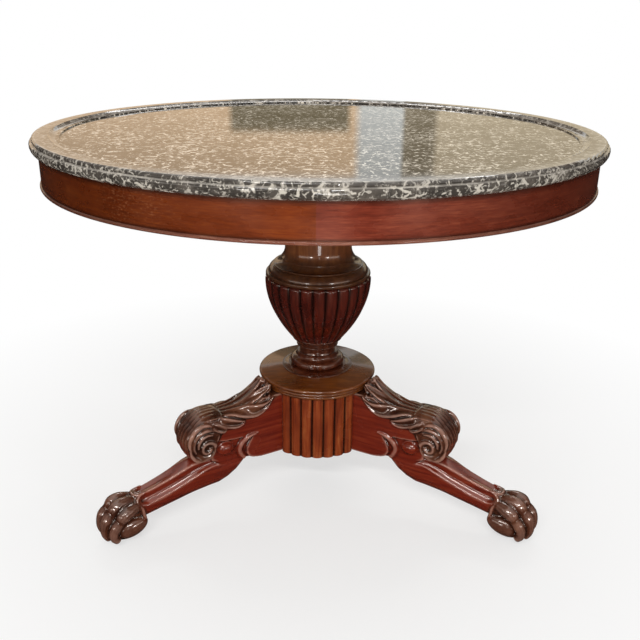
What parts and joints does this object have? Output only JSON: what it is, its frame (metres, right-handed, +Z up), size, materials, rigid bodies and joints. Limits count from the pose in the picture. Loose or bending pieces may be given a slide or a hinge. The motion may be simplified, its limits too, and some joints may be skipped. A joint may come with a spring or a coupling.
{
  "type": "round center table",
  "caption": "Round center table with a loose grey marble top, veneered frieze, gadrooned column and scroll-kneed legs on paw feet.",
  "frame": {"origin": "on the floor, under the axis of the column", "axes": "+Z up along the column; the front of the table faces -Y, and one leg points straight back along +Y"},
  "size_m": [0.9802, 0.9802, 0.721],
  "materials": {
    "grey_marble": "polished",
    "mahogany_veneer": "french polish",
    "mahogany_polished": "french polish",
    "mahogany_carved": "french polish",
    "pine_core": "raw",
    "oak_bearer": "raw",
    "iron": "dark"
  },
  "bodies": {
    "pedestal": {"core_lower_brick_1": "pine_core", "core_lower_brick_2": "pine_core", "core_lower_brick_3": "pine_core", "core_lower_brick_4": "pine_core", "core_lower_brick_5": "pine_core", "core_lower_brick_6": "pine_core", "core_upper_brick_1": "pine_core", "core_upper_brick_2": "pine_core", "core_upper_brick_3": "pine_core", "core_upper_brick_4": "pine_core", "core_upper_brick_5": "pine_core", "core_upper_brick_6": "pine_core", "frieze_veneer_1": "mahogany_veneer", "frieze_veneer_2": "mahogany_veneer", "frieze_veneer_3": "mahogany_veneer", "frieze_veneer_4": "mahogany_veneer", "frieze_bead_1": "mahogany_polished", "frieze_bead_2": "mahogany_polished", "frieze_bead_3": "mahogany_polished", "frieze_bead_4": "mahogany_polished", "bearer_long": "oak_bearer", "bearer_cross": "oak_bearer", "bearer_screws": "iron", "column_neck": "mahogany_polished", "column_vase": "mahogany_polished", "column_foot": "mahogany_polished", "drum_cap": "mahogany_polished", "drum_core": "mahogany_polished", "reeded_panel_1": "mahogany_polished", "reeded_panel_2": "mahogany_polished", "reeded_panel_3": "mahogany_polished", "leg_left": "mahogany_carved", "leg_right": "mahogany_carved", "leg_back": "mahogany_carved", "tie_rod": "iron", "tie_rod_washer_bottom": "iron", "tie_rod_nut_bottom": "iron", "tie_rod_washer_top": "iron", "tie_rod_nut_top": "iron"},
    "slab": {"marble_top": "grey_marble"}
  },
  "joints": [
    {"name": "marble_lift", "type": "slide", "parent": "pedestal", "child": "slab", "axis": [0, 0, 1], "range_m": [0, 0.12]}
  ]
}
